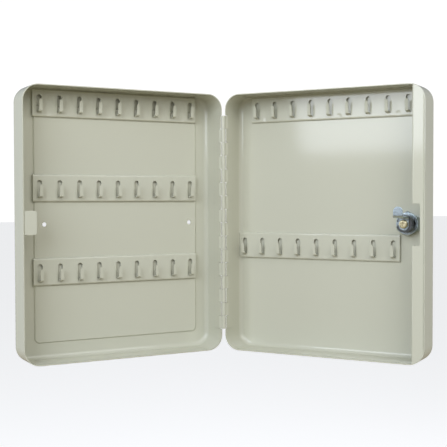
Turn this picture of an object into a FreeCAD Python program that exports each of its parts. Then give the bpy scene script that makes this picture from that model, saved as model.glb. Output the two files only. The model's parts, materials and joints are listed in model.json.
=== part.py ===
"""Wall key cabinet: two pressed steel trays on a piano hinge, five strips of lanced key hooks, a cam lock.

Millimetres, +Z up. The wall is the plane y = 0 and the cabinet stands in front of it, towards -Y.
The origin is midway between the two wall screw holes. The door is drawn open, at REST_OPENING from closed.

Each tray is drawn in its own numbers: u runs across it from the outer face of its hinge-side wall,
n runs from the outer face of its panel towards the inside, and z is up from mid-height.
"""
import FreeCAD, Part

import math
import os

from FreeCAD import Vector

# Trays
HEIGHT = 300.0
WIDTH = 238.0
TRAY_DEPTH = 38.0
SHEET = 1.0
CORNER_R = 18.0
EDGE_R = 6.0
SEAM_HALF = 0.5
HINGE_WALL_X = 115.0

# How far a cutting tool runs past the surface that it cuts
PAST = 1.0

# Piano hinge
BARREL_R = 2.3
LEAF_SHEET = 0.9
LEAF_BEND_R = 0.5
LEAF_KNEE = 0.9
LEAF_ROOM = 0.2
LEAF_LAP = 1.0
PIN_R = 1.35
PIN_PLAY = 0.05
PIN_CHAMFER = 0.3
AXIS_OFFSET = 1.7
KNUCKLES = 16
KNUCKLE_PITCH = 15.7
KNUCKLE_GAP = 0.3
BODY_KNUCKLE = 0
DOOR_KNUCKLE = 1
LEAF_REACH = 16.0
RIM_NOTCH = 5.0
RIM_NOTCH_ROOM = 0.6
BARREL_ROOM = 0.45
LAND_DROP = 0.4

# Opening angle of the door as drawn, from closed
REST_OPENING = 123.4

# Embossed back of the body, with its wall screw holes
PLATEAU_RISE = 1.5
PLATEAU_U = (16.6, 216.0)
PLATEAU_HALF_HEIGHT = 131.5
PLATEAU_R = 6.0
PLATEAU_SLOPE = 1.2
WALL_HOLE_R = 2.4
WALL_HOLE_SPACING = 178.0

# Key strips
STRIP_LENGTH = 199.0
STRIP_HEIGHT = 30.5
STRIP_DEPTH = 3.0
STRIP_SHEET = 0.8
STRIP_BEND_R = 1.2
HOOKS = 9
HOOK_PITCH = 23.0
WINDOW_WIDTH = 5.4
WINDOW_BOTTOM = -10.9
WINDOW_TOP = 8.7
TONGUE_WIDTH = 3.8
TONGUE_LINE = ((0.0, -1.5), (0.0, 1.2), (6.6, 1.2), (7.6, 14.6))
TONGUE_BEND_R = 1.3
WELD_MARK_R = 3.4
WELD_MARK_DEPTH = 0.25
WELD_MARK_DROP = 11.6
WELD_MARK_HOOKS = (0.5, 4.5, 7.5)
BODY_STRIPS = (("top", 133.6), ("middle", 40.2), ("bottom", -52.3))
BODY_STRIP_U = 18.5
DOOR_STRIPS = (("top", 18.3, 133.6), ("lower", 1.8, -27.6))

# Stiffener along the lock side of the door, and the strike on the body
STIFFENER_WIDTH = 13.4
STIFFENER_LEGS = (14.0, 10.0)
STIFFENER_BEND_R = 0.8
STIFFENER_NOTCH = (232.6, 22.5)
STIFFENER_NOTCH_R = 2.0
STRIKE_SHEET = 1.0
STRIKE_TAB = 14.0
STRIKE_FOOT = 13.0
STRIKE_Z = (-9.9, 15.7)
STRIKE_N = 37.5
STRIKE_CORNER_R = 2.2

# Cam lock
LOCK_U = 210.0
BARREL_LOCK_R = 9.3
BARREL_FLAT = 8.3
LOCK_HOLE_ROOM = 0.1
LOCK_HEAD_R = 11.0
LOCK_HEAD_T = 2.2
LOCK_HEAD_FILLET = 1.2
HOUSING_END = 18.0
PLUG_R = 6.0
PLUG_PLAY = 0.05
PLUG_LIP_R = 7.2
PLUG_LIP_T = 1.0
WARD_GROOVE = (7.2, 1.15)
WARD_GROOVE_END = 1.5
KEYWAY = (2.2, 7.6)
KEYWAY_END = 3.5
SQUARE = 7.0
SQUARE_CORNER_R = 4.6
WASHER_T = 0.9
TOOTH_WASHER_R = 12.0
TOOTH_GAP_R = 1.1
TEETH = 14
NUT_FLATS = 24.5
NUT_T = 6.0
NUT_CHAMFER_R = 12.0
STOP_COLLAR_T = 1.4
STOP_COLLAR_R = (6.5, 9.1)
STOP_TRAVEL = 90.0
STOP_TAB_HALF = 14.0
STOP_ROOM = 1.5
STOP_WASHER_R = 5.8
STOP_TAB_R = 8.8
STOP_WASHER_ROOM = 0.1
SECTOR_STEPS = 12
CAM_SHEET = 1.5
CAM_WIDTH = 11.0
CAM_TIP_WIDTH = 10.6
CAM_STEP_Z = 7.8
CAM_TIP_Z = 19.2
CAM_TAIL_Z = -7.0
CAM_TIP_N = 41.3
CAM_BEND_R = 1.2
SPRING_WASHER_R = 4.2
SPRING_WASHER_SPLIT = 0.8
SCREW_R = 2.5
SCREW_HEAD_R = 4.6
SCREW_HEAD_T = 2.5
SCREW_HEAD_FILLET = 1.3
SCREW_CHAMFER = 0.5
SCREW_LENGTH = 6.5
SCREW_RECESS = (1.3, 5.2, 1.4)
WAFER_COUNT = 5
WAFER_FIRST_N = 3.0
WAFER_PITCH = 2.6
WAFER_T = 1.0
WAFER_WIDTH = 6.2
WAFER_HEIGHT = 9.8
WAFER_ROOM = 0.1
WAFER_CORNER_R = 0.8
WAFER_WINDOW = (2.6, 6.0)
WAFER_WINDOWS = (0.6, -0.4, 0.2, -0.8, 0.9)
SPRING_R = 0.62
SPRING_WIRE_R = 0.14
SPRING_TURNS = 4
SPRING_LENGTH = 2.4
SPRING_ROOM = 0.05
POCKET_ROOM = 0.1
POCKET_OFFSET = 1.0

# Derived sizes
RIM_N = TRAY_DEPTH
AXIS_N = TRAY_DEPTH + SEAM_HALF
AXIS_X = HINGE_WALL_X + AXIS_OFFSET
DOOR_WALL_X = AXIS_X + AXIS_OFFSET
HINGE_LENGTH = KNUCKLES * KNUCKLE_PITCH
PANEL_N = SHEET
CAM_N = HOUSING_END + STOP_COLLAR_T + STOP_WASHER_ROOM
SCREW_SEAT_N = CAM_N + CAM_SHEET + WASHER_T
SPRING_U = LOCK_U + WAFER_WIDTH / 2 + POCKET_OFFSET


def body_point(u, n, z=0.0):
    """A point of the body tray in the cabinet's frame."""
    return Vector(HINGE_WALL_X - u, -n, z)


def door_point(u, n, z=0.0):
    """A point of the door tray with the door swung right back, before it is turned to its rest angle."""
    return Vector(DOOR_WALL_X + u, -n, z)


def swing(shape):
    """Turn a door piece from fully back to the rest angle, about the hinge pin."""
    turned = shape.copy()
    turned.rotate(Vector(AXIS_X, -AXIS_N, 0), Vector(0, 0, 1), REST_OPENING - 180.0)
    return turned


def box(place, u, n, z):
    """A box between two values of u, n and z in the given tray."""
    a = place(u[0], n[0], z[0])
    b = place(u[1], n[1], z[1])
    low = Vector(min(a.x, b.x), min(a.y, b.y), min(a.z, b.z))
    return Part.makeBox(abs(a.x - b.x), abs(a.y - b.y), abs(a.z - b.z), low)


def rod(place, u, z, radius, n0, n1):
    """A round bar square to the panel, from n0 to n1."""
    start = place(u, n0, z)
    return Part.makeCylinder(radius, abs(n1 - n0), start, Vector(0, -1 if n1 > n0 else 1, 0))


def prism(points, along):
    """A flat outline of straight sides pushed along a vector."""
    return Part.Face(Part.makePolygon(list(points) + [points[0]])).extrude(along)


def rounded_slab(place, u, z, radius, n0, n1):
    """A plate with four rounded corners between two values of n."""
    slab = box(place, u, (n0, n1), z)
    corners = [e for e in slab.Edges if abs(e.Vertexes[0].Y - e.Vertexes[-1].Y) > abs(n1 - n0) / 2]
    return slab.makeFillet(radius, corners)


def edges_at(shape, n):
    """The edges of a shape that lie wholly in the plane at n."""
    return [e for e in shape.Edges if all(abs(v.Y + n) < 1e-6 for v in e.Vertexes)]


def bent_section(corners, thickness, bend_r):
    """The cross-section of a sheet folded along a line of points, as a face.

    corners are the points of the sheet's middle line, and bend_r is the inside radius of every fold.
    """
    mid_r = bend_r + thickness / 2
    half = thickness / 2
    normal = None
    for i in range(1, len(corners) - 1):
        turn = (corners[i] - corners[i - 1]).cross(corners[i + 1] - corners[i])
        if normal is None:
            normal = turn.normalize()
    sides = {1: [], -1: []}
    starts = {}
    first = (corners[1] - corners[0]).normalize()
    for s in sides:
        starts[s] = corners[0] + normal.cross(first) * (s * half)
    ends = dict(starts)
    for i in range(1, len(corners) - 1):
        before = (corners[i] - corners[i - 1]).normalize()
        after = (corners[i + 1] - corners[i]).normalize()
        angle = before.getAngle(after)
        run = mid_r * math.tan(angle / 2)
        a = corners[i] - before * run
        b = corners[i] + after * run
        inward = (after - before).normalize()
        centre = corners[i] + inward * (mid_r / math.cos(angle / 2))
        middle = centre - inward * mid_r
        for s in sides:
            side = normal.cross(before) * s
            grow = (a - centre).normalize().dot(side) * half
            scale = (mid_r + grow) / mid_r
            p, m, q = [centre + (t - centre) * scale for t in (a, middle, b)]
            sides[s].append(Part.LineSegment(ends[s], p).toShape())
            sides[s].append(Part.Arc(p, m, q).toShape())
            ends[s] = q
    last = (corners[-1] - corners[-2]).normalize()
    for s in sides:
        stop = corners[-1] + normal.cross(last) * (s * half)
        sides[s].append(Part.LineSegment(ends[s], stop).toShape())
        ends[s] = stop
    caps = [Part.LineSegment(starts[1], starts[-1]).toShape(), Part.LineSegment(ends[1], ends[-1]).toShape()]
    wire = Part.Wire(Part.__sortEdges__(sides[1] + sides[-1] + caps))
    return Part.Face(wire)


def tray_block(place, inset, n0):
    """The solid that fills a tray out to the rim, drawn in by inset all round and starting at n0."""
    half = HEIGHT / 2 - inset
    over = RIM_N if inset == 0 else RIM_N + PAST
    block = rounded_slab(place, (inset, WIDTH - inset), (-half, half), CORNER_R - inset, n0, over)
    return block.makeFillet(EDGE_R - inset, edges_at(block, n0))


def knuckle_spans(first):
    """The lowest and highest z of every second knuckle, counted from the bottom."""
    low = (KNUCKLE_GAP - HINGE_LENGTH) / 2
    tall = KNUCKLE_PITCH - KNUCKLE_GAP
    return [(low + k * KNUCKLE_PITCH, low + k * KNUCKLE_PITCH + tall) for k in range(first, KNUCKLES, 2)]


def hinge_rod(radius, past=0.0):
    """A round bar on the hinge's axis, running past each end of the barrel."""
    low = -HINGE_LENGTH / 2 - past
    return Part.makeCylinder(radius, HINGE_LENGTH + 2 * past, Vector(AXIS_X, -AXIS_N, low))


def tray(place, own):
    """A drawn sheet tray with round corners, its rim cleared for the barrel and its own knuckles' arms."""
    shell = tray_block(place, 0.0, 0.0).cut(tray_block(place, SHEET, PANEL_N))
    room = RIM_NOTCH_ROOM
    cuts = [hinge_rod(BARREL_R + BARREL_ROOM, room)]
    wall_u = (-PAST, SHEET + PAST)
    for low, high in knuckle_spans(own):
        cuts.append(box(place, wall_u, (RIM_N - RIM_NOTCH, RIM_N + PAST), (low - room, high + room)))
    return shell.cut(cuts)


def body_tray():
    """The wall half: its back is pressed forward in one large panel, with two wall screw holes."""
    shell = tray(body_point, BODY_KNUCKLE)
    rise = PANEL_N + PLATEAU_RISE
    tall = (-PLATEAU_HALF_HEIGHT, PLATEAU_HALF_HEIGHT)
    pad = rounded_slab(body_point, PLATEAU_U, tall, PLATEAU_R, SHEET / 2, rise)
    pad = pad.makeChamfer(PLATEAU_SLOPE, edges_at(pad, rise))
    inner_u = (PLATEAU_U[0] + SHEET, PLATEAU_U[1] - SHEET)
    inner_z = (tall[0] + SHEET, tall[1] - SHEET)
    hollow = rounded_slab(body_point, inner_u, inner_z, PLATEAU_R - SHEET, -PAST, PLATEAU_RISE)
    hollow = hollow.makeChamfer(PLATEAU_SLOPE, edges_at(hollow, PLATEAU_RISE))
    shell = shell.fuse(pad).cut(hollow)
    for side in (-1, 1):
        start = Vector(side * WALL_HOLE_SPACING / 2, PAST, 0)
        shell = shell.cut(Part.makeCylinder(WALL_HOLE_R, rise + 2 * PAST, start, Vector(0, -1, 0)))
    return shell.removeSplitter()


def double_d(place, radius, flat, n0, n1):
    """A round bar with two flats, left and right, on the lock's axis."""
    bar = rod(place, LOCK_U, 0, radius, n0, n1)
    return bar.common(box(place, (LOCK_U - flat, LOCK_U + flat), (n0, n1), (-radius, radius)))


def door_tray():
    """The door half: a flat panel, with a hole with two flats that keeps the lock from turning."""
    room = LOCK_HOLE_ROOM
    hole = double_d(door_point, BARREL_LOCK_R + room, BARREL_FLAT + room, -PAST, PANEL_N + PAST)
    return tray(door_point, DOOR_KNUCKLE).cut(hole)


def hinge_leaf(place, own, bore_r):
    """Half of the piano hinge: a welded plate, and every second knuckle curled round the pin.

    Between its own knuckles the plate runs on towards the rim, behind the tray's wall.
    """
    flat_u = SHEET + LEAF_SHEET / 2
    curl_u = BARREL_R - LEAF_SHEET / 2 - AXIS_OFFSET
    low_n = RIM_N - LEAF_REACH
    step_n = RIM_N - RIM_NOTCH
    half = HINGE_LENGTH / 2
    plate_u = (SHEET, SHEET + LEAF_SHEET)
    leaf = box(place, plate_u, (low_n, step_n - LEAF_ROOM), (-half, half))
    line = [place(flat_u, low_n + LEAF_LAP), place(flat_u, step_n + LEAF_KNEE)]
    line += [place(curl_u, RIM_N - LEAF_LAP), place(curl_u, AXIS_N)]
    section = bent_section(line, LEAF_SHEET, LEAF_BEND_R)
    added = []
    for low, high in knuckle_spans(own):
        arm = section.copy()
        arm.translate(Vector(0, 0, low))
        added.append(arm.extrude(Vector(0, 0, high - low)))
        added.append(Part.makeCylinder(BARREL_R, high - low, Vector(AXIS_X, -AXIS_N, low)))
    for span in knuckle_spans(1 - own):
        added.append(box(place, plate_u, (low_n, RIM_N - LAND_DROP), span))
    return leaf.fuse(added).cut(hinge_rod(bore_r, PAST)).removeSplitter()


def hinge_pin():
    """The hinge wire, as long as the barrel."""
    pin = hinge_rod(PIN_R)
    ends = [e for e in pin.Edges if abs(abs(e.BoundBox.Center.z) - HINGE_LENGTH / 2) < 1e-6]
    return pin.makeChamfer(PIN_CHAMFER, ends)


def key_strip(place, u0, z0, base_n):
    """A shallow channel of sheet, with a row of tongues cut from it and bent out and up as hooks.

    Its edges are trimmed where they would run into the rounded corner of the tray.
    """
    half = STRIP_HEIGHT / 2 - STRIP_SHEET / 2
    face_n = base_n + STRIP_DEPTH - STRIP_SHEET / 2
    line = [place(u0, base_n, z0 - half), place(u0, face_n, z0 - half)]
    line += [place(u0, face_n, z0 + half), place(u0, base_n, z0 + half)]
    along = place(u0 + STRIP_LENGTH, 0) - place(u0, 0)
    strip = bent_section(line, STRIP_SHEET, STRIP_BEND_R).extrude(along)
    first_u = u0 + (STRIP_LENGTH - (HOOKS - 1) * HOOK_PITCH) / 2
    windows = []
    tongues = []
    for i in range(HOOKS):
        u = first_u + i * HOOK_PITCH
        windows.append(hook_window(place, u, z0, face_n))
        tongues.append(hook_tongue(place, u, z0, face_n))
    marks = [weld_mark(place, first_u + i * HOOK_PITCH, z0 - WELD_MARK_DROP, face_n) for i in WELD_MARK_HOOKS]
    strip = strip.cut(windows + marks).fuse(tongues).removeSplitter()
    return strip.common(tray_block(place, SHEET, PANEL_N))


def hook_window(place, u, z0, face_n):
    """The opening that a tongue leaves in its strip: square at the bottom, round at the top."""
    half = WINDOW_WIDTH / 2
    n = (face_n - STRIP_SHEET, face_n + STRIP_SHEET)
    top = WINDOW_TOP - half
    slot = box(place, (u - half, u + half), n, (z0 + WINDOW_BOTTOM, z0 + top))
    return slot.fuse(rod(place, u, z0 + top, half, n[0], n[1]))


def hook_tongue(place, u, z0, face_n):
    """One key hook: a tongue folded out of the strip, then up, with a round tip."""
    root = z0 + WINDOW_BOTTOM
    half = TONGUE_WIDTH / 2
    line = [place(u - half, face_n + n, root + z) for n, z in TONGUE_LINE]
    along = place(u + half, 0) - place(u - half, 0)
    blank = bent_section(line, STRIP_SHEET, TONGUE_BEND_R).extrude(along)
    top = root + TONGUE_LINE[-1][1] - half
    n = (face_n - PAST, face_n + TONGUE_LINE[-1][0] + PAST)
    outline = box(place, (u - half, u + half), n, (root - 2 * PAST, top))
    return blank.common(outline.fuse(rod(place, u, top, half, n[0], n[1])))


def weld_mark(place, u, z, face_n):
    """The shallow round dent that a spot weld leaves in the strip's face."""
    ball_r = (WELD_MARK_R ** 2 + WELD_MARK_DEPTH ** 2) / (2 * WELD_MARK_DEPTH)
    surface = face_n + STRIP_SHEET / 2
    return Part.makeSphere(ball_r, place(u, surface - WELD_MARK_DEPTH + ball_r, z))


def lock_side_stiffener():
    """A channel welded inside the door's lock-side wall, its web flush with the rim, notched for the lock."""
    outer = WIDTH - SHEET
    mid = SHEET / 2
    wall_leg, free_leg = STIFFENER_LEGS
    line = [door_point(outer - mid, RIM_N - wall_leg), door_point(outer - mid, RIM_N - mid)]
    edge = outer - STIFFENER_WIDTH + mid
    line += [door_point(edge, RIM_N - mid), door_point(edge, RIM_N - free_leg)]
    channel = bent_section(line, SHEET, STIFFENER_BEND_R).extrude(Vector(0, 0, HEIGHT))
    channel.translate(Vector(0, 0, -HEIGHT / 2))
    channel = channel.common(tray_block(door_point, SHEET, PANEL_N))
    notch_u, notch_half = STIFFENER_NOTCH
    notch_z = (-notch_half, notch_half)
    notch = rounded_slab(door_point, (LOCK_U, notch_u), notch_z, STIFFENER_NOTCH_R, 0.0, RIM_N + PAST)
    return channel.cut(notch)


def strike_bracket():
    """An angle welded inside the body's lock-side wall: the cam turns in behind its tab."""
    outer = WIDTH - SHEET
    mid = STRIKE_SHEET / 2
    line = [body_point(outer - mid, STRIKE_N - STRIKE_FOOT), body_point(outer - mid, STRIKE_N - mid)]
    line += [body_point(outer - STRIKE_TAB, STRIKE_N - mid)]
    tall = STRIKE_Z[1] - STRIKE_Z[0]
    angle = bent_section(line, STRIKE_SHEET, STRIKE_SHEET).extrude(Vector(0, 0, tall))
    angle.translate(Vector(0, 0, STRIKE_Z[0]))
    free_u = outer - STRIKE_TAB
    u = (free_u, outer + STRIKE_TAB)
    outline = rounded_slab(body_point, u, STRIKE_Z, STRIKE_CORNER_R, 0.0, RIM_N + PAST)
    return angle.common(outline)


def lock_housing():
    """The fixed barrel: a round head outside the door, a threaded shank with two flats, a stop collar."""
    head = rod(door_point, LOCK_U, 0, LOCK_HEAD_R, 0.0, -LOCK_HEAD_T)
    head = head.makeFillet(LOCK_HEAD_FILLET, edges_at(head, -LOCK_HEAD_T))
    shank = double_d(door_point, BARREL_LOCK_R, BARREL_FLAT, -LOCK_HEAD_T / 2, HOUSING_END)
    front_n = -LOCK_HEAD_T - PAST
    bore = rod(door_point, LOCK_U, 0, PLUG_R + PLUG_PLAY, front_n, CAM_N + PAST)
    lip = rod(door_point, LOCK_U, 0, PLUG_LIP_R + PLUG_PLAY, front_n, -LOCK_HEAD_T + PLUG_LIP_T)
    groove_r, groove_half = WARD_GROOVE
    groove_u = (LOCK_U - groove_half, LOCK_U + groove_half)
    groove = box(door_point, groove_u, (PANEL_N, HOUSING_END - WARD_GROOVE_END), (-groove_r, groove_r))
    return head.fuse([shank, stop_collar()]).cut([bore, lip, groove])


def stop_collar():
    """The raised arc on the end of the housing that the stop washer's tab turns against."""
    inner, outer = STOP_COLLAR_R
    high = HOUSING_END + STOP_COLLAR_T
    low = HOUSING_END - PAST
    ring = rod(door_point, LOCK_U, 0, outer, low, high)
    ring = ring.cut(rod(door_point, LOCK_U, 0, inner, low - PAST, high + PAST))
    clear = STOP_TAB_HALF + STOP_ROOM
    gap = sector(-90.0 - clear, -90.0 + STOP_TRAVEL + clear, 2 * outer, HOUSING_END, high + PAST)
    flats = box(door_point, (LOCK_U - BARREL_FLAT, LOCK_U + BARREL_FLAT), (0, high), (-outer, outer))
    return ring.cut(gap).common(flats)


def sector(start, stop, radius, n0, n1):
    """A slice round the lock's axis; angles in degrees from straight up towards the lock-side wall."""
    points = [door_point(LOCK_U, n0, 0)]
    for i in range(SECTOR_STEPS + 1):
        a = math.radians(start + (stop - start) * i / SECTOR_STEPS)
        points.append(door_point(LOCK_U + radius * math.sin(a), n0, radius * math.cos(a)))
    return prism(points, Vector(0, n0 - n1, 0))


def stop_washer():
    """A washer on the plug's square, with one tab that stops the turn at each end."""
    n = (HOUSING_END + STOP_WASHER_ROOM, HOUSING_END + STOP_COLLAR_T)
    disc = rod(door_point, LOCK_U, 0, STOP_WASHER_R, n[0], n[1])
    tab = sector(-90.0 - STOP_TAB_HALF, -90.0 + STOP_TAB_HALF, STOP_TAB_R + PAST, n[0], n[1])
    tab = tab.common(rod(door_point, LOCK_U, 0, STOP_TAB_R, n[0], n[1]))
    return disc.fuse(tab).cut(square_bar(0, CAM_N)).removeSplitter()


def square_bar(n0, n1):
    """The square that drives the cam and the stop washer, on the lock's axis."""
    half = SQUARE / 2
    return box(door_point, (LOCK_U - half, LOCK_U + half), (n0, n1), (-half, half))


def lock_plug():
    """The turning plug: a lip, a keyway, a slot for each wafer, a square for the cam, a tapped end."""
    lip = rod(door_point, LOCK_U, 0, PLUG_LIP_R, -LOCK_HEAD_T, -LOCK_HEAD_T + PLUG_LIP_T)
    core = rod(door_point, LOCK_U, 0, PLUG_R, -LOCK_HEAD_T, HOUSING_END)
    square = square_bar(HOUSING_END - PAST, CAM_N + CAM_SHEET)
    square = square.common(rod(door_point, LOCK_U, 0, SQUARE_CORNER_R, 0, SCREW_SEAT_N))
    plug = lip.fuse([core, square])
    wide, tall = KEYWAY
    key_n = (-LOCK_HEAD_T - PAST, HOUSING_END - KEYWAY_END)
    cuts = [box(door_point, (LOCK_U - wide / 2, LOCK_U + wide / 2), key_n, (-tall / 2, tall / 2))]
    half = WAFER_WIDTH / 2 + WAFER_ROOM
    for i in range(WAFER_COUNT):
        n0 = WAFER_FIRST_N + i * WAFER_PITCH
        slot_n = (n0 - WAFER_ROOM / 2, n0 + WAFER_T + WAFER_ROOM / 2)
        cuts.append(box(door_point, (LOCK_U - half, LOCK_U + half), slot_n, (-PLUG_R, PLUG_R)))
        cuts.append(spring_pocket(n0))
    cuts.append(rod(door_point, LOCK_U, 0, SCREW_R, SCREW_SEAT_N - SCREW_LENGTH, SCREW_SEAT_N))
    return plug.cut(cuts)


def spring_pocket(n0):
    """The pocket beside one wafer for its spring."""
    start = door_point(SPRING_U, n0 + WAFER_T / 2, -SPRING_LENGTH / 2)
    return Part.makeCylinder(SPRING_R + SPRING_WIRE_R + POCKET_ROOM, SPRING_LENGTH, start)


def wafer(index):
    """One flat tumbler, standing flush with the plug, with a window cut for its own height of key."""
    n0 = WAFER_FIRST_N + index * WAFER_PITCH
    half_u, half_z = WAFER_WIDTH / 2, WAFER_HEIGHT / 2
    u = (LOCK_U - half_u, LOCK_U + half_u)
    plate = rounded_slab(door_point, u, (-half_z, half_z), WAFER_CORNER_R, n0, n0 + WAFER_T)
    wide, tall = WAFER_WINDOW
    centre = WAFER_WINDOWS[index]
    window_u = (LOCK_U - wide / 2, LOCK_U + wide / 2)
    window_z = (centre - tall / 2, centre + tall / 2)
    return plate.cut(box(door_point, window_u, (n0 - PAST, n0 + WAFER_T + PAST), window_z))


def wafer_springs():
    """The small coil springs that push the wafers out when the key is drawn."""
    turn = (SPRING_LENGTH - 2 * SPRING_WIRE_R - 2 * SPRING_ROOM) / SPRING_TURNS
    helix = Part.makeHelix(turn, turn * SPRING_TURNS, SPRING_R)
    start = Part.Wire(Part.makeCircle(SPRING_WIRE_R, Vector(SPRING_R, 0, 0), Vector(0, 1, 0)))
    coil = Part.Wire(helix.Edges).makePipeShell([start], True, True)
    coils = []
    for i in range(WAFER_COUNT):
        n0 = WAFER_FIRST_N + i * WAFER_PITCH
        one = coil.copy()
        low = -SPRING_LENGTH / 2 + SPRING_WIRE_R + SPRING_ROOM
        one.translate(door_point(SPRING_U, n0 + WAFER_T / 2, low))
        coils.append(one)
    return Part.makeCompound(coils)


def tooth_washer():
    """The toothed lock washer under the nut."""
    top = PANEL_N + WASHER_T
    ring = rod(door_point, LOCK_U, 0, TOOTH_WASHER_R, PANEL_N, top)
    cuts = [rod(door_point, LOCK_U, 0, BARREL_LOCK_R, 0, top + PAST)]
    for i in range(TEETH):
        a = math.radians(360.0 * i / TEETH)
        u = LOCK_U + TOOTH_WASHER_R * math.sin(a)
        cuts.append(rod(door_point, u, TOOTH_WASHER_R * math.cos(a), TOOTH_GAP_R, 0, top + PAST))
    return ring.cut(cuts)


def lock_nut():
    """The hexagon nut that clamps the lock, its corners chamfered, one corner straight up."""
    n0 = PANEL_N + WASHER_T
    corner = NUT_FLATS / math.sqrt(3)
    points = []
    for i in range(6):
        a = math.radians(60.0 * i)
        points.append(door_point(LOCK_U + corner * math.sin(a), n0, corner * math.cos(a)))
    hexagon = prism(points, Vector(0, -NUT_T, 0))
    base_r = NUT_CHAMFER_R + NUT_T * math.sqrt(3)
    cone = Part.makeCone(base_r, NUT_CHAMFER_R, NUT_T, door_point(LOCK_U, n0, 0), Vector(0, -1, 0))
    nut = hexagon.common(cone)
    return nut.cut(rod(door_point, LOCK_U, 0, BARREL_LOCK_R, 0, n0 + NUT_T + PAST))


def lock_cam():
    """The cranked cam: it leaves the lock behind the rim, steps out past it and rises to a round tip."""
    mid = CAM_SHEET / 2
    half = CAM_WIDTH / 2
    tip_n = CAM_TIP_N + mid
    stops = ((CAM_N + mid, CAM_TAIL_Z), (CAM_N + mid, CAM_STEP_Z), (tip_n, CAM_STEP_Z), (tip_n, CAM_TIP_Z))
    line = [door_point(LOCK_U - half, n, z) for n, z in stops]
    blank = bent_section(line, CAM_SHEET, CAM_BEND_R).extrude(Vector(CAM_WIDTH, 0, 0))
    tip_half = CAM_TIP_WIDTH / 2
    n = (CAM_N - PAST, tip_n + PAST)
    tail = CAM_TAIL_Z + half
    outline = box(door_point, (LOCK_U - half, LOCK_U + half), n, (tail, CAM_STEP_Z + CAM_SHEET))
    neck = box(door_point, (LOCK_U - tip_half, LOCK_U + tip_half), n, (0, CAM_TIP_Z - tip_half))
    rounds = [rod(door_point, LOCK_U, tail, half, n[0], n[1])]
    rounds.append(rod(door_point, LOCK_U, CAM_TIP_Z - tip_half, tip_half, n[0], n[1]))
    cam = blank.common(outline.fuse([neck] + rounds))
    return cam.cut(square_bar(0, CAM_N + CAM_SHEET + PAST)).removeSplitter()


def spring_washer():
    """The split spring washer under the cam screw's head."""
    low = CAM_N + CAM_SHEET
    ring = rod(door_point, LOCK_U, 0, SPRING_WASHER_R, low, SCREW_SEAT_N)
    ring = ring.cut(rod(door_point, LOCK_U, 0, SCREW_R, low - PAST, SCREW_SEAT_N + PAST))
    half = SPRING_WASHER_SPLIT / 2
    split_n = (low - PAST, SCREW_SEAT_N + PAST)
    return ring.cut(box(door_point, (LOCK_U - half, LOCK_U + half), split_n, (-SPRING_WASHER_R - PAST, 0)))


def cam_screw():
    """The cross-recessed pan-head screw that holds the cam on the plug."""
    top = SCREW_SEAT_N + SCREW_HEAD_T
    tip = SCREW_SEAT_N - SCREW_LENGTH
    head = rod(door_point, LOCK_U, 0, SCREW_HEAD_R, SCREW_SEAT_N, top)
    head = head.makeFillet(SCREW_HEAD_FILLET, edges_at(head, top))
    shank = rod(door_point, LOCK_U, 0, SCREW_R, tip, top - SCREW_HEAD_T / 2)
    shank = shank.makeChamfer(SCREW_CHAMFER, edges_at(shank, tip))
    wide, long, deep = SCREW_RECESS
    recess = []
    for across, up in ((long, wide), (wide, long)):
        u = (LOCK_U - across / 2, LOCK_U + across / 2)
        recess.append(box(door_point, u, (top - deep, top + PAST), (-up / 2, up / 2)))
    return head.fuse(shank).cut(recess)


def build():
    """Every piece by node name, in place with the door at its rest angle."""
    pieces = {"body_tray": body_tray(), "strike_bracket": strike_bracket(), "hinge_pin": hinge_pin()}
    pieces["body_hinge_leaf"] = hinge_leaf(body_point, BODY_KNUCKLE, PIN_R)
    for name, z in BODY_STRIPS:
        pieces["body_key_strip_" + name] = key_strip(body_point, BODY_STRIP_U, z, PANEL_N + PLATEAU_RISE)
    door = {"door_tray": door_tray(), "lock_side_stiffener": lock_side_stiffener()}
    door["door_hinge_leaf"] = hinge_leaf(door_point, DOOR_KNUCKLE, PIN_R + PIN_PLAY)
    for name, u, z in DOOR_STRIPS:
        door["door_key_strip_" + name] = key_strip(door_point, u, z, PANEL_N)
    lock_makers = (lock_housing, tooth_washer, lock_nut, lock_plug, stop_washer, lock_cam, spring_washer)
    for maker in lock_makers:
        door[maker.__name__] = maker()
    door["cam_screw"] = cam_screw()
    for i in range(WAFER_COUNT):
        door["wafer_%d" % (i + 1)] = wafer(i)
    door["wafer_springs"] = wafer_springs()
    for name, shape in door.items():
        pieces[name] = swing(shape)
    return pieces


os.makedirs("parts", exist_ok=True)
for node, shape in build().items():
    shape.exportStep("parts/" + node + ".step")
    print("%-24s solids %d  valid %s  volume %.1f" % (node, len(shape.Solids), shape.isValid(), shape.Volume))
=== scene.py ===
# %% [markdown]
# # A wall key cabinet, open
#
# The cabinet is two shallow pressed-steel trays joined by a piano hinge. The left tray goes on a
# wall with two screws, and the right one is the door, with a cam lock. Both hold rows of hooks cut
# and bent out of narrow steel channels, and everything but the lock is powder coated in one colour.
#
# The CAD model already has every sheet, knuckle and hook at its real size, so this file loads it as
# a fixed frame and adds what CAD leaves out: finishes, threads, light and a camera.

# %% Load the frame
import json
import math

import bmesh
import bpy
from mathutils import Matrix, Vector


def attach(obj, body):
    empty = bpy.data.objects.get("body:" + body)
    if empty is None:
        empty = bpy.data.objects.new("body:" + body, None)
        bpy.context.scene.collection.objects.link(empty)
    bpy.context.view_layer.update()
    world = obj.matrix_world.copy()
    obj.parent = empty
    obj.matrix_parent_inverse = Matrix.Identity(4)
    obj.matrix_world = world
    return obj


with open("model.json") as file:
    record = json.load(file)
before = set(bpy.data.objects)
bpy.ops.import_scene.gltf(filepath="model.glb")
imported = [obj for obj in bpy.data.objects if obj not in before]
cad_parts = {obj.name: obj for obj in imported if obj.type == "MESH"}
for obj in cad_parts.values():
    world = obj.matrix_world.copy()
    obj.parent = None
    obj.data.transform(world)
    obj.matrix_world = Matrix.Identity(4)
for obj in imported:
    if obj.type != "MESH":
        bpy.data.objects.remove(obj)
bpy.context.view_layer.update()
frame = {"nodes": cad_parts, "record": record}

scene = bpy.context.scene
nodes = frame["nodes"]
MM = 0.001

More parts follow.
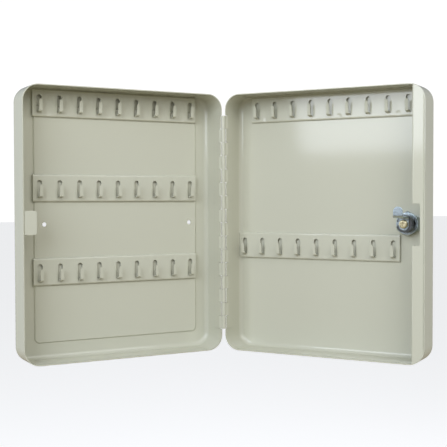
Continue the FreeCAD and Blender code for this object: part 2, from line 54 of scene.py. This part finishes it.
# %% [markdown]
# ## Colours and node trees
#
# Paint charts and screens give colours as sRGB hex, but Blender's shaders add light in linear
# units. One function turns hex to linear, and one adds a shader node with its settings and links,
# so a material below reads as a short list of nodes.

# %% Helpers for colour and nodes
def linear(hex_colour, alpha=1.0):
    """An sRGB hex colour, such as "C5C6B6", as linear red, green, blue and alpha."""
    parts = [int(hex_colour[i:i + 2], 16) / 255 for i in (0, 2, 4)]
    return [c / 12.92 if c <= 0.04045 else ((c + 0.055) / 1.055) ** 2.4 for c in parts] + [alpha]


def add_node(tree, kind, inputs=None, **settings):
    """A node of that kind: settings are its own properties, inputs its sockets' values or links."""
    node = tree.nodes.new("ShaderNode" + kind)
    for name, value in settings.items():
        setattr(node, name, value)
    for name, value in (inputs or {}).items():
        if isinstance(value, bpy.types.NodeSocket):
            tree.links.new(value, node.inputs[name])
        else:
            node.inputs[name].default_value = value
    return node


def new_material(name):
    """An empty node material and its output node."""
    material = bpy.data.materials.new(name)
    material.use_nodes = True
    material.node_tree.nodes.clear()
    return material, add_node(material.node_tree, "OutputMaterial")


print("paint in linear light:", [round(c, 3) for c in linear("C5C6B6")[:3]])

# %% [markdown]
# ## The camera
#
# The view is from the front left, almost level, so that the open door turns its inside to the
# camera. A long lens from about a metre away keeps both trays nearly square on.

# %% Camera
CAMERA_AT = Vector((-0.3871, -0.9595, 0.0272))
CAMERA_YAW = 28.67
CAMERA_PITCH = -1.548
CAMERA_ROLL = -0.13
LENS_MM = 71.76
SENSOR_MM = 36.0

camera_data = bpy.data.cameras.new("camera")
camera_data.lens = LENS_MM
camera_data.sensor_width = SENSOR_MM
camera = bpy.data.objects.new("camera", camera_data)
scene.collection.objects.link(camera)
yaw = Matrix.Rotation(math.radians(-CAMERA_YAW), 4, "Z")
pitch = Matrix.Rotation(math.radians(90 + CAMERA_PITCH), 4, "X")
roll = Matrix.Rotation(math.radians(CAMERA_ROLL), 4, "Z")
camera.matrix_world = Matrix.Translation(CAMERA_AT) @ yaw @ pitch @ roll
scene.camera = camera
print("camera", [round(v, 3) for v in CAMERA_AT], "lens", LENS_MM)

# %% [markdown]
# ## Floor and surroundings
#
# The cabinet hangs on a wall, so the floor is well below it: a large sheet of white backdrop paper.
# Indirect rays don't see the paper, so the light on the cabinet comes only from the room and the soft
# boxes below, and is easy to balance.
#
# The room is a world that is plain white to the camera, and to everything else a dim gradient: warm
# light thrown back by the floor, cooler light above. Gloss paint and plated metal look alive only
# when what they mirror changes from top to bottom, which an evenly white room doesn't give.

# %% Floor of backdrop paper
FLOOR_Z = -0.75
FLOOR_REACH = 30.0
PAPER_GLOW = 0.6

corners = [(x * FLOOR_REACH, y * FLOOR_REACH, FLOOR_Z) for x, y in ((-1, -1), (1, -1), (1, 1), (-1, 1))]
floor_mesh = bpy.data.meshes.new("floor")
floor_mesh.from_pydata(corners, [], [(0, 1, 2, 3)])
floor = bpy.data.objects.new("floor", floor_mesh)
scene.collection.objects.link(floor)

paper, paper_out = new_material("white_backdrop_paper")
diffuse = add_node(paper.node_tree, "BsdfDiffuse", {"Color": linear("FAFAFA")})
glow = add_node(paper.node_tree, "Emission", {"Color": linear("FFFFFF"), "Strength": PAPER_GLOW})
both = add_node(paper.node_tree, "AddShader", {0: diffuse.outputs[0], 1: glow.outputs[0]})
paper.node_tree.links.new(both.outputs[0], paper_out.inputs["Surface"])
floor_mesh.materials.append(paper)
floor.visible_diffuse = False
floor.visible_glossy = False

# %% The room
ROOM_BELOW = 0.46
ROOM_ABOVE = 0.27
BACKGROUND = 1.05
# Heights, on a ball of radius 1, between which the light changes from the lower to the upper
BLEND_FROM = -0.5
BLEND_TO = 0.1

world = bpy.data.worlds.new("studio")
scene.world = world
world.use_nodes = True
room_tree = world.node_tree
room_tree.nodes.clear()
where = add_node(room_tree, "TexCoord")
height = add_node(room_tree, "SeparateXYZ", {0: where.outputs["Generated"]})
level = add_node(
    room_tree, "MapRange", interpolation_type="SMOOTHSTEP",
    inputs={"Value": height.outputs["Z"], "From Min": BLEND_FROM, "From Max": BLEND_TO})
below = add_node(room_tree, "Background", {"Color": linear("F7EBCB"), "Strength": ROOM_BELOW})
above = add_node(room_tree, "Background", {"Color": linear("F4F8FF"), "Strength": ROOM_ABOVE})
room = add_node(room_tree, "MixShader", {0: level.outputs[0], 1: below.outputs[0], 2: above.outputs[0]})
white = add_node(room_tree, "Background", {"Color": linear("FFFFFF"), "Strength": BACKGROUND})
path = add_node(room_tree, "LightPath")
seen = add_node(
    room_tree, "MixShader",
    {0: path.outputs["Is Camera Ray"], 1: room.outputs[0], 2: white.outputs[0]})
add_node(room_tree, "OutputWorld", {"Surface": seen.outputs[0]})
print("room brightness", ROOM_BELOW, "below,", ROOM_ABOVE, "above")

# %% [markdown]
# ## Soft boxes
#
# Four boxes light the cabinet. The front one stands over the camera and fills both trays. The
# left one brightens the faces that turn left, and hangs so that its lower edge shows in the door's
# gloss panel: the broad patch below the top strip is its mirror image. The weak right and
# side ones lift the outer walls of the door and of the wall tray.
#
# A box is placed by its bearing and height as angles from the cabinet, and always faces it, so
# moving one keeps its light on the work. Its brightness is given as radiance, which is what a gloss
# panel mirrors, and the lamp's power follows from its area.

# %% Lights
LIT_POINT = Vector((0.06, -0.10, 0.0))


def soft_box(name, bearing, elevation, distance, size, radiance, colour="FFFFFF"):
    """A rectangular lamp facing the cabinet; bearing in degrees from straight in front, to the left."""
    turned, raised = math.radians(bearing), math.radians(elevation)
    level_reach = math.cos(raised)
    towards = Vector((-math.sin(turned) * level_reach, -math.cos(turned) * level_reach, math.sin(raised)))
    data = bpy.data.lights.new(name, "AREA")
    data.shape = "RECTANGLE"
    data.size, data.size_y = size
    data.energy = radiance * math.pi * size[0] * size[1]
    data.color = linear(colour)[:3]
    lamp = bpy.data.objects.new(name, data)
    lamp.location = LIT_POINT + towards * distance
    lamp.rotation_mode = "QUATERNION"
    lamp.rotation_quaternion = (-towards).to_track_quat("-Z", "Y")
    scene.collection.objects.link(lamp)
    print(name, "power", round(data.energy, 1), "W")


soft_box("front_box", -2, 31, 1.7, (1.5, 1.1), 2.85)
soft_box("left_box", 60, 22.5, 1.4, (1.0, 0.8), 5.6, "ECF3FF")
soft_box("right_box", -75, 8, 1.7, (0.9, 0.9), 3.6, "F0F5FF")
soft_box("side_box", 112, 5, 1.4, (0.6, 0.9), 4.2, "F0F5FF")

scene.view_settings.view_transform = "Standard"
scene.view_settings.look = "None"

# %% [markdown]
# ## Powder coat
#
# The sheet steel is powder coated: dry polyester powder is sprayed on, then melted in an oven to a
# smooth gloss skin about 0.08 mm thick. It gives the eye an even pale grey-beige, soft reflections,
# edges rounded by the melt, and a faint ripple called orange peel.
#
# Polyester has an IOR of about 1.5 and isn't metallic. The orange peel could be real displacement,
# but it is only microns deep, so a noise texture drives a bump. Its waves are 2 to 4 mm apart.
# A Bevel node rounds every sheet edge in the shading, which catches the thin highlights that
# a melted coat has along its edges.

# %% Gloss powder coat
PEEL_WAVE = 3.0 * MM
PEEL_HEIGHT = 0.015 * MM
COAT_EDGE = 0.35 * MM
EDGE_SAMPLES = 4


def powder_coat():
    """Gloss grey-beige polyester powder coat on steel sheet."""
    material, out = new_material("gloss_powder_coat")
    tree = material.node_tree
    place = add_node(tree, "TexCoord")
    peel = add_node(
        tree, "TexNoise",
        {"Vector": place.outputs["Object"], "Scale": 1 / PEEL_WAVE, "Detail": 1.5, "Roughness": 0.4})
    edge = add_node(tree, "Bevel", {"Radius": COAT_EDGE}, samples=EDGE_SAMPLES)
    bump = add_node(
        tree, "Bump",
        {"Strength": 1.0, "Distance": PEEL_HEIGHT, "Height": peel.outputs["Fac"], "Normal": edge.outputs[0]})
    skin = add_node(
        tree, "BsdfPrincipled",
        {"Base Color": linear("C6C6B5"), "Roughness": 0.09, "IOR": 1.5, "Normal": bump.outputs[0]})
    tree.links.new(skin.outputs[0], out.inputs["Surface"])
    return material


finishes = {"powder_coat": powder_coat()}
print("orange peel waves of", PEEL_WAVE / MM, "mm")

# %% [markdown]
# ## Plated metals
#
# The lock is metal under thin plating. Zinc plate on the nut, the cam and the washers is bright
# and slightly blue, with fine scratches from being tumbled together. The housing is a nickel-plated
# zinc casting, satin from its mould, given a dark grey far darker than nickel, which paints the shade
# it sits in. The screw is zinc with a pale yellow passivation. The plug and
# its wafers are plain machined brass, and the hinge pin is drawn steel wire.
#
# All are metallic with the default IOR, and differ in colour, in how rough they are, and in the
# size of the tool marks that a noise bump draws.

# %% Plated metals
METAL_EDGE = 0.4 * MM
# Share by which the tool marks make the roughness less or more
STAIN = 0.25


def plated_metal(name, colour, roughness, grain, depth):
    """A bare or plated metal; grain is the width of its tool marks and depth how far they cut in."""
    material, out = new_material(name)
    tree = material.node_tree
    place = add_node(tree, "TexCoord")
    marks = add_node(
        tree, "TexNoise",
        {"Vector": place.outputs["Object"], "Scale": 1 / grain, "Detail": 3.0})
    stain = add_node(
        tree, "MapRange",
        {"Value": marks.outputs["Fac"],
         "To Min": roughness * (1 - STAIN), "To Max": roughness * (1 + STAIN)})
    edge = add_node(tree, "Bevel", {"Radius": METAL_EDGE}, samples=EDGE_SAMPLES)
    bump = add_node(
        tree, "Bump",
        {"Strength": 1.0, "Distance": depth, "Height": marks.outputs["Fac"], "Normal": edge.outputs[0]})
    metal = add_node(
        tree, "BsdfPrincipled",
        {"Base Color": linear(colour), "Metallic": 1.0,
         "Roughness": stain.outputs[0], "Normal": bump.outputs[0]})
    tree.links.new(metal.outputs[0], out.inputs["Surface"])
    return material


finishes["hinge_wire"] = plated_metal("drawn_steel_wire", "B9B8B2", 0.35, 0.6 * MM, 0.01 * MM)
# The housing's dark grey paints the shade it sits in; nickel plate itself is much brighter
finishes["lock_barrel"] = plated_metal("nickel_casting_darkened_for_shade", "6F7172", 0.2, 0.9 * MM, 0.05 * MM)
finishes["bright_zinc"] = plated_metal("bright_zinc_plate", "BCC8CD", 0.22, 2.0 * MM, 0.03 * MM)
finishes["yellow_zinc"] = plated_metal("yellow_zinc_plate", "DED3AE", 0.25, 1.0 * MM, 0.01 * MM)
finishes["lock_brass"] = plated_metal("machined_brass", "D9BE80", 0.25, 0.5 * MM, 0.01 * MM)
finishes["spring_wire"] = plated_metal("bright_spring_wire", "C8C8C8", 0.25, 0.3 * MM, 0.005 * MM)
print(len(finishes), "finishes")

# %% Put each finish on its pieces
for piece in frame["record"]["subparts"]:
    mesh = nodes[piece["node"]].data
    mesh.materials.clear()
    mesh.materials.append(finishes[piece["material_slot"]])

# %% [markdown]
# ## Thread on the lock housing
#
# The housing's shank is threaded along its length for the big nut, with a flat filed down each
# side. CAD leaves the thread out, because nothing there needs it, and a plain bar mirrors the room
# in broad bands, where a thread breaks every reflection into thin dark and light rings.
#
# A Screw modifier could sweep a profile round an axis, but it can't cut the two flats. A short loop
# can: it walks up the helix a few degrees at a time and, at each step, writes a root, a crest and
# a root, with the crest held inside the flats. It covers only the shank beyond the nut.

# %% The lock's own axes
lock_joint = next(j for j in frame["record"]["behaviour"]["joints"] if j["name"] == "lock_turn")
lock_centre = Vector(lock_joint["pos_m"])
inward = -Vector(lock_joint["axis"]).normalized()
lock_up = Vector((0, 0, 1))
lock_side = inward.cross(lock_up)


def reach_along_lock(node):
    """How far a piece reaches along the lock's axis, from the door's outer face inwards."""
    reaches = [(v.co - lock_centre).dot(inward) for v in nodes[node].data.vertices]
    return min(reaches), max(reaches)


nut_end = reach_along_lock("lock_nut")[1]
shank_end = reach_along_lock("lock_housing")[1]
print("bare shank from", round(nut_end / MM, 1), "to", round(shank_end / MM, 1), "mm")

# %% Helical thread
SHANK_R = 9.3 * MM
SHANK_FLAT = 8.3 * MM
COLLAR = 1.4 * MM
# A real thread here is 1 mm; 1.5 mm still shows as separate rings
PITCH = 1.5 * MM
THREAD_HEIGHT = 0.35 * MM
STEPS = 72
# Along the axis in pitches and outwards in thread heights: root, two corners of the crest, root
PROFILE = ((-0.5, -0.2), (-0.1, 1.0), (0.1, 1.0), (0.5, -0.2))
# Each turn is a little narrower than the pitch, so that neighbouring turns don't meet
TURN_WIDTH = 0.96 * PITCH
# How far the ridge still stands out over the flats, where most of it is cut away
FLAT_RIDGE = 0.1
TINY = 1e-6


def housing_thread():
    """The ridge of the thread as one strip, swept up a helix and trimmed by the shank's two flats."""
    shape = bmesh.new()
    length = shank_end - COLLAR - nut_end - PITCH
    rows = []
    for i in range(int(length / PITCH * STEPS) + 1):
        angle = 2 * math.pi * i / STEPS
        aim = lock_side * math.cos(angle) + lock_up * math.sin(angle)
        flat = SHANK_FLAT / max(abs(math.cos(angle)), TINY)
        middle = nut_end + PITCH / 2 + PITCH * i / STEPS
        row = []
        for shift, lift in PROFILE:
            radius = min(SHANK_R + THREAD_HEIGHT * lift, flat + THREAD_HEIGHT * FLAT_RIDGE * lift)
            along = middle + TURN_WIDTH * shift
            row.append(shape.verts.new(lock_centre + aim * radius + inward * along))
        rows.append(row)
    corners = len(PROFILE)
    for before, after in zip(rows, rows[1:]):
        for k in range(corners):
            n = (k + 1) % corners
            shape.faces.new((before[k], after[k], after[n], before[n]))
    shape.faces.new(rows[0])
    shape.faces.new(list(reversed(rows[-1])))
    bmesh.ops.recalc_face_normals(shape, faces=shape.faces)
    mesh = bpy.data.meshes.new("lock_housing_thread")
    shape.to_mesh(mesh)
    shape.free()
    # The thread takes the housing's dark grey, which paints the shade the lock sits in
    mesh.materials.append(finishes["lock_barrel"])
    thread = bpy.data.objects.new("lock_housing_thread", mesh)
    scene.collection.objects.link(thread)
    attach(thread, "door")
    print("thread of", len(mesh.polygons), "faces")


housing_thread()
